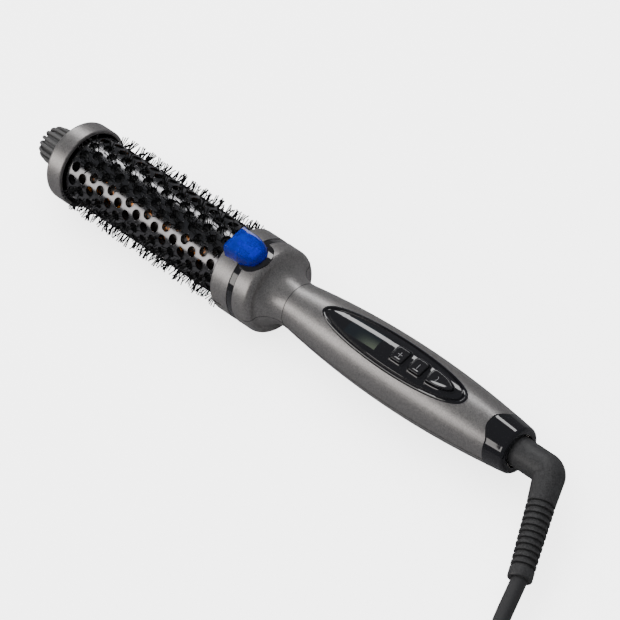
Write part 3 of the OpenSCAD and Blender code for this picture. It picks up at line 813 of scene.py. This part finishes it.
graph, sizes = new_tree("cool_tip_ribs", {"Ribs": RIBS, "Thickness": RIB_R * MM})
index = graph.node("GeometryNodeInputIndex")
spots = spots_at(graph, sizes["Ribs"], (TIP_X, 0, AXIS_Z))
nose = graph.node(
    "GeometryNodeCurveQuadraticBezier",
    {},
    {"Resolution": 10, "Start": NOSE_TOP, "Middle": NOSE_CORNER, "End": RIB_FRONT},
)
side = graph.node("GeometryNodeCurvePrimitiveLine", {}, {"Start": RIB_FRONT, "End": RIB_BACK})
path = graph.node("GeometryNodeJoinGeometry")
graph.tree.links.new(nose.output, path.output.node.inputs[0])
graph.tree.links.new(side.output, path.output.node.inputs[0])
rib = sweep(graph, path, circle(graph, 14, sizes["Thickness"]))
turn = graph.vector(index * (2 * math.pi / RIBS), 0.0, 0.0)
turned = graph.node("FunctionNodeEulerToRotation", {}, [turn])
ribs = scatter(graph, spots, rib, Rotation=turned)
tree = close_tree(graph, ribs, finishes["cool_tip_plastic"])
ribs = grow("tip_ribs", tree)


def lathe(name, profile, around=64, sharp=35):
    """A solid turned about the brush's axis, from its station and radius pairs."""
    rings = [[place(s, r, 360 * k / around) for k in range(around)] for s, r in profile]
    return loft(name, rings, sharp=sharp)


CORE_PROFILE = [
    (0.8, 0.01), (0.6, 3.4), (0.8, 5.2), (1.6, 6.6), (3.2, 7.2), (S_CAP - 0.6, 7.7),
    (S_CAP, 8.9), (S_CAP + 0.2, 8.9), (S_CAP + 0.2, 0.01),
]  # fmt: skip
core = lathe("tip_core", CORE_PROFILE)
settle(joined("cool_tip_grip", [core, ribs]), "casing", "cool_tip_plastic", ["cool_tip"])

# %% [markdown]
# ## The blue ion outlet
# The outlet is a small clear hood on a round black seat. Its mouth faces the barrel, its roof
# slopes down to a rounded rear, and its wall is about a millimetre thick. Rings of points follow
# the roof's height and the hood's width, once for the outside and once for the inside.

# %% Outlet
MOUTH_S, HOOD_L, SEAT_R = 131.0, 16.8, 19.78
HOOD_HALF, HOOD_TALL, ROOF_FROM, WALL = 6.95, 5.3, 19.2, 0.95
NARROWS_AT, SLOPES_AT, LIP_L, LIP_FLARE = 7, 5, 3, 0.35
HOOD_STEPS = 24


def hood_section(x, trim):
    """Half of the hood's outline at a distance x behind the mouth, from the foot to the roof."""
    length, wide, tall = HOOD_L - trim, HOOD_HALF - trim, HOOD_TALL - trim
    t = max(0.0, (x - NARROWS_AT) / (length - NARROWS_AT))
    flare = max(0.0, (LIP_L - x) / LIP_L) ** 2 * LIP_FLARE
    half = wide * math.sqrt(max(0.0, 1 - t**2.3)) + flare
    u = min(1.0, max(0.0, (x - SLOPES_AT) / (length - SLOPES_AT)))
    foot = math.sqrt(SEAT_R**2 - half**2)
    roof = max(ROOF_FROM + tall * math.sqrt(1 - u**2.4), foot + 0.02)
    rise = roof - foot
    return [
        (half, foot),
        (half * 0.985, foot + rise * 0.3),
        (half * 0.93, foot + rise * 0.66),
        (half * 0.87, foot + rise * 0.88),
        (half * 0.80, foot + rise * 0.97),
        (half * 0.68, roof),
        (half * 0.36, roof + 0.06 * rise / 5),
        (0.0, roof + 0.08 * rise / 5),
    ]


def hood_rings(trim):
    """The hood's arches from its mouth to its rear, trimmed by the wall for the inside."""
    rings = []
    for i in range(HOOD_STEPS + 1):
        x = (HOOD_L - trim) * math.sin(math.pi / 2 * i / HOOD_STEPS)
        side = hood_section(x, trim)
        outline = side + [(-y, z) for y, z in side[-2::-1]]
        rings.append([at(MOUTH_S + x, y, z) for y, z in outline])
    return rings


outer, inner = hood_rings(0.0), hood_rings(WALL)
rows = [*outer, *inner[::-1]]
width = len(outer[0])
points = [p for ring in rows for p in ring]
faces = []
for i in range(len(rows)):
    a, b = i * width, (i + 1) % len(rows) * width
    faces += [(a + k, a + k + 1, b + k + 1, b + k) for k in range(width - 1)]
for k in (0, width - 1):
    for i in range(HOOD_STEPS):
        j = len(rows) - 1 - i
        foot = (i, i + 1, j - 1, j)
        faces.append(tuple(row * width + k for row in foot))
hood = mesh_object("ion_hood", points, faces, 30)
settle(hood, "casing", "blue_clear_plastic", ["ion_outlet"])

# %% [markdown]
# ## The control panel
# The panel's outline is a long leaf. Its frame is a gloss black bead, a groove and two thin
# ridges inside it. All of them follow the same outline on the crowned handle, so one function
# gives a point of the panel at any distance in from its edge and at any height.

# %% Panel outline
PANEL_S, TIP_REACH, CORD_REACH, PANEL_HALF = 225.5, 43.5, 38.5, 8.65
FRAME_W, FRAME_TIP = 2.05, 3.0
POINTED, ROUND, BLUNT = 0.7, 0.42, 0.47


def outline_point(angle, inset):
    """The leaf: long and pointed towards the tip, shorter and round towards the cord."""
    reach, shape = (CORD_REACH, ROUND) if math.cos(angle) > 0 else (TIP_REACH, POINTED)
    x = (reach - inset * FRAME_TIP / FRAME_W) * math.cos(angle)
    half = (PANEL_HALF - inset) * (math.sin(angle) ** 2) ** shape
    return x, math.copysign(half, math.sin(angle))


def panel_point(angle, inset, height):
    """A point of the panel at an angle round its outline, in from the edge and above the handle.
    The frame's outer edge is blunter than the lens at the tip's end, so the two are blended."""
    (x, y), (lens_x, lens_y) = outline_point(angle, 0), outline_point(angle, FRAME_W)
    if x < 0:
        y = math.copysign(PANEL_HALF * max(0.0, 1 - (x / TIP_REACH) ** 2) ** BLUNT, y)
    t = inset / FRAME_W
    x, y = x + (lens_x - x) * t, y + (lens_y - y) * t
    return over(PANEL_S + x, y, handle_r(PANEL_S + x) + height)


OUTLINE_STEPS = 240
# Pairs of distance in from the edge and height: the bead, the groove, two ridges, the inner wall.
FRAME_PROFILE = [
    (0.0, -1.5), (0.0, 0.1), (0.1, 0.34), (0.3, 0.52), (0.55, 0.56), (0.8, 0.42), (0.95, 0.12),
    (1.02, -0.05), (1.3, -0.05), (1.36, 0.2), (1.44, 0.3), (1.52, 0.2), (1.6, 0.0), (1.66, 0.0),
    (1.72, 0.22), (1.8, 0.34), (1.92, 0.36), (2.05, 0.26), (2.05, -1.5),
]  # fmt: skip
angles = [2 * math.pi * (i + 0.5) / OUTLINE_STEPS for i in range(OUTLINE_STEPS)]
frame_rings = [[panel_point(a, inset, h) for inset, h in FRAME_PROFILE] for a in angles]
panel_frame = loft("panel_frame", frame_rings, "joined", 30)
settle(panel_frame, "casing", "gloss_trim", ["panel_bezel"])

# %% [markdown]
# The lower side of the frame has a strip of fine teeth between the bead and the ridges. The tree
# follows that line as a curve and stands one small tooth on each of its points.

# %% Toothed strip
STRIP_INSET, STRIP_START, STRIP_END = 1.16, -0.62, 0.55
TOOTH = (0.00062, 0.00036, 0.0002)

lower_side = [a for a in angles if math.sin(a) < 0 and STRIP_START < math.cos(a) < STRIP_END]
strip_line = [panel_point(a, STRIP_INSET, 0.0) for a in lower_side]
strip_mesh = bpy.data.meshes.new("strip_line")
strip_mesh.from_pydata(strip_line, [(i, i + 1) for i in range(len(strip_line) - 1)], [])

graph, sizes = new_tree("toothed_strip", {"Teeth": 105})
curve = graph.node("GeometryNodeMeshToCurve", {}, [sizes["Geometry"]])
curve = graph.node("GeometryNodeSetCurveNormal", {"mode": "Z_UP"}, [curve])
spots = graph.node(
    "GeometryNodeCurveToPoints", {"mode": "COUNT"}, {"Curve": curve, "Count": sizes["Teeth"]}
)
facing = Socket(graph, spots.output.node.outputs["Rotation"])
tooth = graph.node("GeometryNodeMeshCube", {}, {"Size": TOOTH})
tree = close_tree(graph, scatter(graph, spots, tooth, Rotation=facing), finishes["gloss_trim"])
frame_teeth = grow("frame_teeth", tree, linked("strip_line", strip_mesh), 30)
settle(frame_teeth, "casing", "gloss_trim")


# %% [markdown]
# ### Display window and buttons
# The display is a dark glass window that lies in the lens. Each button is a glossy pillow with
# a rounded edge and a shallow dish, inside a raised ring of its own.

# %% Display window
WINDOW_START, WINDOW_END, WINDOW_HALF = 198.0, 216.0, 4.1
WINDOW_TOP, WINDOW_UNDER, WINDOW_STEPS = 0.29, 0.19, 12


def window_ring(station):
    """The window's section at a station: its top across the lens, and its underside back."""
    r = handle_r(station)
    ys = [WINDOW_HALF * (2 * j / WINDOW_STEPS - 1) for j in range(WINDOW_STEPS + 1)]
    top = [over(station, y, r + WINDOW_TOP) for y in ys]
    return top + [over(station, y, r + WINDOW_UNDER) for y in ys[::-1]]


window_step = (WINDOW_END - WINDOW_START) / WINDOW_STEPS
window_rings = [window_ring(WINDOW_START + window_step * i) for i in range(WINDOW_STEPS + 1)]
settle(loft("display_window", window_rings, sharp=30), "casing", "display_glass")

# %% Button outlines
BUTTON_HALF, BUTTON_CORNER, DROP_L = 3.3, 1.2, 12.6
BUTTON_TOP, BUTTON_FOOT = BELLY_R + 1.15, 11.35


def square_outline(grow_by):
    """A rounded square, grown outwards."""
    a, r = BUTTON_HALF + grow_by, BUTTON_CORNER + grow_by
    return [
        (sx * (a - r) + r * math.cos(t), sy * (a - r) + r * math.sin(t))
        for quarter, (sx, sy) in enumerate(((1, 1), (-1, 1), (-1, -1), (1, -1)))
        for t in (math.pi / 2 * (quarter + i / 8) for i in range(9))
    ]


def drop_outline(grow_by):
    """A drop, grown outwards: blunt towards the other buttons, pointed towards the cord."""
    half = BUTTON_HALF + grow_by
    upper = [(-grow_by, 2.2), (0.15 - grow_by, 2.9), (0.8 - grow_by / 2, half)]
    for t in (math.pi / 2 * i / 12 for i in range(1, 13)):
        upper.append(((DROP_L + grow_by) * math.sin(t), half * max(0.0, math.cos(t)) ** 1.2))
    return upper + [(x, -y) for x, y in upper[-2::-1]]


BUTTONS = {
    "button_plus": (PANEL_S + 2.2, square_outline),
    "button_minus": (PANEL_S + 12.6, square_outline),
    "button_power": (PANEL_S + 19.0, drop_outline),
}


def middle(outline):
    xs = [x for x, y in outline]
    return (min(xs) + max(xs)) / 2


# %% Buttons and their rings
# A pillow's levels are pairs of scale and height: its wall, its rounded edge, its shallow dish.
PILLOW = [
    (1.0, BUTTON_FOOT), (1.0, BUTTON_TOP - 0.55), (0.985, BUTTON_TOP - 0.3),
    (0.95, BUTTON_TOP - 0.1), (0.89, BUTTON_TOP), (0.8, BUTTON_TOP - 0.02),
    (0.6, BUTTON_TOP - 0.12), (0.4, BUTTON_TOP - 0.2), (0.2, BUTTON_TOP - 0.25),
    (0.01, BUTTON_TOP - 0.26),
]  # fmt: skip
# A ring's section is pairs of distance out from the button and height over the handle.
RING = [
    (0.22, -0.3), (0.22, 0.5), (0.3, 0.72), (0.48, 0.84),
    (0.66, 0.8), (0.95, 0.5), (1.15, 0.3), (1.15, -0.3),
]  # fmt: skip

for name, (station, outline) in BUTTONS.items():
    centre = middle(outline(0))
    rings = []
    for scale, height in PILLOW:
        ring = [((x - centre) * scale + centre, y * scale) for x, y in outline(0)]
        rings.append([at(station + x, y, height) for x, y in ring])
    pillow = loft(name + "_cap", rings, sharp=50)
    settle(pillow, name, "button_plastic", [name])
    levels = []
    for grow_by, height in RING:
        ring = outline(grow_by)
        levels.append([over(station + x, y, handle_r(station + x) + height) for x, y in ring])
    around = list(zip(*levels))
    settle(loft(name + "_ring", around, "joined", 40), "casing", "panel_gloss")


# %% [markdown]
# The signs on the buttons are only a plus, a minus and the usual power mark. They are thin
# strokes, each a flat plate that follows a line. Where two strokes cross, one lies a hair higher,
# because two faces in the same place would flicker.

# %% Button signs
SIGN_Z, SIGN_THICK, CROSS_LIFT = BUTTON_TOP - 0.2, 0.3, 0.004
BAR, BAR_W, MARK_R, MARK_W, MARK_X = 1.2, 0.36, 1.15, 0.3, 3.4


def stroke(points, wide, station, z):
    """A flat stroke along a line of (x, y) points, as a thin closed plate."""
    left, right_side = [], []
    for i, (x, y) in enumerate(points):
        ahead, behind = points[min(i + 1, len(points) - 1)], points[max(i - 1, 0)]
        dx, dy = ahead[0] - behind[0], ahead[1] - behind[1]
        size = math.hypot(dx, dy)
        nx, ny = -dy / size * wide / 2, dx / size * wide / 2
        left.append((x + nx, y + ny))
        right_side.append((x - nx, y - ny))
    rings = []
    for l, r in zip(left, right_side):
        top = [at(station + x, y, z) for x, y in (l, r)]
        under = [at(station + x, y, z - SIGN_THICK) for x, y in (r, l)]
        rings.append(top + under)
    return loft("stroke", rings, sharp=30)


turn_angles = [math.radians(a) for a in range(-140, 141, 14)]
arc = [(MARK_X + math.cos(a) * MARK_R, math.sin(a) * MARK_R) for a in turn_angles]
bar_along, bar_across = [(-BAR, 0), (BAR, 0)], [(0, -BAR), (0, BAR)]
SIGNS = {
    "button_plus": (BAR_W, [bar_along, bar_across]),
    "button_minus": (BAR_W, [bar_across]),
    "button_power": (MARK_W, [arc, [(1.7, 0), (3.3, 0)]]),
}
for name, (wide, lines) in SIGNS.items():
    station = BUTTONS[name][0]
    strokes = [stroke(p, wide, station, SIGN_Z + CROSS_LIFT * i) for i, p in enumerate(lines)]
    settle(joined(name + "_sign", strokes), name, "button_plastic", (), "sign_grey")


# %% [markdown]
# ## End cap
# The gloss black cap closes the handle and lets the elbow through. Its front edge isn't a plain
# ring: on the panel's side and the side below, it reaches forward in a soft tongue.

# %% Cap with a soft tongue
TONGUE_S, CAP_EDGE_R, CAP_HOLE_R, CAP_LIFT = 277.4, 1.8, 7.3, 0.06
TONGUE_HALF, TONGUE_FADE = 10, 35


def cap_front(azimuth):
    """The station where the cap starts: further forward within TONGUE_HALF of the top."""
    t = min(1, max(0, (abs(azimuth) - TONGUE_HALF) / TONGUE_FADE))
    return TONGUE_S + (S_END_CAP - 0.05 - TONGUE_S) * t * t * (3 - 2 * t)


def cap_line(azimuth):
    """The cap's section at one azimuth, from under its front edge round to inside its hole."""
    front, back_s = cap_front(azimuth), S_END - CAP_EDGE_R
    r, side_start, top = handle_r(front), front + 0.2, handle_r(back_s) + CAP_LIFT
    line = [(front + 0.1, r - 0.8), (front, r - 0.05), (front + 0.12, r + CAP_LIFT)]
    side = [side_start + (back_s - side_start) * i / 10 for i in range(11)]
    line += [(s, handle_r(s) + CAP_LIFT) for s in side]
    for b in (math.pi / 2 * i / 8 for i in range(1, 9)):
        line.append((back_s + CAP_EDGE_R * math.sin(b), top - CAP_EDGE_R * (1 - math.cos(b))))
    return line + [
        (S_END, CAP_HOLE_R + 0.5), (S_END - 0.15, CAP_HOLE_R + 0.15), (S_END - 0.5, CAP_HOLE_R),
        (S_END - 7.5, CAP_HOLE_R), (S_END - 7.5, CAP_HOLE_R + 1.2),
        (S_END - 8, handle_r(S_END_CAP) - 2),
    ]  # fmt: skip


around = [360 * k / 160 - 180 for k in range(160)]
cap_rings = [[place(s, r, azimuth) for s, r in cap_line(azimuth)] for azimuth in around]
settle(loft("swivel_cap", cap_rings, "joined", 40), "casing", "gloss_trim", ["end_cap"])

# %% [markdown]
# ## Seams
# The two half shells meet along the sides of the brush, and the handle meets the neck in a thin
# ring. Real seams are narrow dark grooves. A hair-thin dark bead that stands a few hundredths of
# a millimetre proud reads the same, and it needs no cut in the CAD shells.

# %% Seam lines
def bead(name, line, r):
    """A thin tube along a line of points in metres."""
    rings = []
    for i, p in enumerate(line):
        ahead = line[min(i + 1, len(line) - 1)] - line[max(i - 1, 0)]
        side = ahead.cross(Vector((0, 0, 1))).normalized()
        lift = side.cross(ahead).normalized()
        sixths = [math.pi / 3 * k for k in range(6)]
        rings.append([p + (side * math.cos(t) + lift * math.sin(t)) * r for t in sixths])
    return loft(name, rings)


SEAM_R, SEAM_STEP = 0.00011, 3.9
FLARE_R, FLARE_L, EDGE_R = 16.5, 12.0, 3.0


def shell_side(side):
    """The split line along one side: handle, flare and collar."""
    bends = [math.pi / 2 * i / 12 for i in range(12, -1, -1)]
    drop = FLARE_R - handle_r(S_NECK)
    line = [(S_END_CAP - i * SEAM_STEP, handle_r(S_END_CAP - i * SEAM_STEP)) for i in range(30)]
    line += [(S_NECK - FLARE_L * math.cos(t), FLARE_R - drop * math.sin(t)) for t in bends]
    edge_s = S_FLARE - EDGE_R
    line += [(edge_s + EDGE_R * math.cos(t), FLARE_R + EDGE_R * math.sin(t)) for t in bends[::-1]]
    return [place(s, r, 90 * side) for s, r in line]


seams = [bead(f"seam_{side}", shell_side(side), SEAM_R) for side in (-1, 1)]
settle(joined("split_lines", seams), "casing", "satin_casing", (), "seam_shadow")


def ring_bead(name, station, radius, r, around=128):
    """A thin tube round the brush."""
    eighths = [math.pi / 4 * j for j in range(8)]
    section = [(station + r * math.cos(t), radius + r * math.sin(t)) for t in eighths]
    azimuths = [360 * k / around for k in range(around)]
    rings = [[place(s, q, azimuth) for s, q in section] for azimuth in azimuths]
    return loft(name, rings, "joined")


BAND_S, BAND_R = S_COLLAR + 13.95, 19.42
neck_groove = ring_bead("neck_groove", S_NECK, handle_r(S_NECK) - 0.02, 0.14)
settle(neck_groove, "casing", "satin_casing", (), "seam_shadow")
settle(ring_bead("band_shadow", BAND_S, BAND_R, 0.13), "casing", "gloss_trim")

# %% [markdown]
# ## Floor, sky and lamps
# The brush lies on a plain pale table under soft light. Two long softboxes shape it: a narrow
# one behind, whose reflection runs along the top of the barrel and the panel, and a broad warm
# one on the near side for the long highlight on the handle. A large sheet above lights the table
# and every dull surface, and it is hidden from reflections, so that black gloss parts stay black.
# The table has a glow of its own, as a studio's lit backdrop does, and gloss sees it much darker.

# %% Floor
TABLE_HALF, TABLE_GAP = 6, 0.0002
corners = [(x * TABLE_HALF, y * TABLE_HALF, 0) for x, y in ((-1, -1), (1, -1), (1, 1), (-1, 1))]
floor = mesh_object("table_top", corners, [(0, 1, 2, 3)])
floor.location.z = -TABLE_GAP
pale = bpy.data.materials.new("pale_table")
pale.use_nodes = True
paint = Graph(pale.node_tree)
paint.tree.nodes.remove(paint.tree.nodes["Principled BSDF"])
bright = paint.node("ShaderNodeBsdfDiffuse", {}, {"Color": (0.93, 0.93, 0.93, 1)})
seen = paint.node("ShaderNodeLightPath", output="Is Camera Ray")
in_gloss = paint.node("ShaderNodeLightPath", output="Is Glossy Ray")
glow = paint.node("ShaderNodeEmission", {}, {"Color": (1, 1, 1, 1), "Strength": 0.4 + seen * 2.6})
lit = paint.node("ShaderNodeAddShader", {}, [bright, glow])
dim = paint.node("ShaderNodeBsdfDiffuse", {}, {"Color": (0.10, 0.10, 0.105, 1)})
table = paint.node("ShaderNodeMixShader", {}, [in_gloss, lit, dim])
paint.tree.links.new(table.output, paint.tree.nodes["Material Output"].inputs["Surface"])
floor.data.materials.append(pale)


# %% Lamps
def softbox(name, towards, distance, size, power, colour=(1, 1, 1), mirrored=True):
    """A rectangular lamp that looks at the middle of the brush. size is along X, then across."""
    data = bpy.data.lights.new(name, "AREA")
    data.shape = "RECTANGLE"
    data.size, data.size_y = size
    data.energy, data.color = power, colour
    z_axis = Vector(towards).normalized()
    x_axis = (Vector((1, 0, 0)) - z_axis * z_axis.x).normalized()
    spot = Vector((0, 0, AXIS_Z)) + z_axis * distance
    lamp = linked(name, data)
    lamp.matrix_world = axes_matrix(x_axis, z_axis.cross(x_axis), z_axis, spot)
    lamp.visible_glossy = mirrored


LAMP_TILT = math.radians(35)


def towards(azimuth):
    """A lamp's direction: tilted towards the tip's end, at that azimuth round the brush."""
    a, across = math.radians(azimuth), math.cos(LAMP_TILT)
    return (-math.sin(LAMP_TILT), across * math.sin(a), across * math.cos(a))


softbox("rear_strip", towards(43), 1.2, (1.1, 0.24), 4.6)
softbox("near_panel", towards(-58), 1.2, (1.1, 0.5), 5.4, (1.0, 0.965, 0.93))
softbox("table_sheet", (0, 0, 1), 1.6, (2.4, 2.4), 75.0, (1, 1, 1), False)

world = bpy.data.worlds.new("studio")
world.use_nodes = True
world.node_tree.nodes["Background"].inputs["Color"].default_value = (0.9, 0.93, 1, 1)
world.node_tree.nodes["Background"].inputs["Strength"].default_value = 0.12
bpy.context.scene.world = world
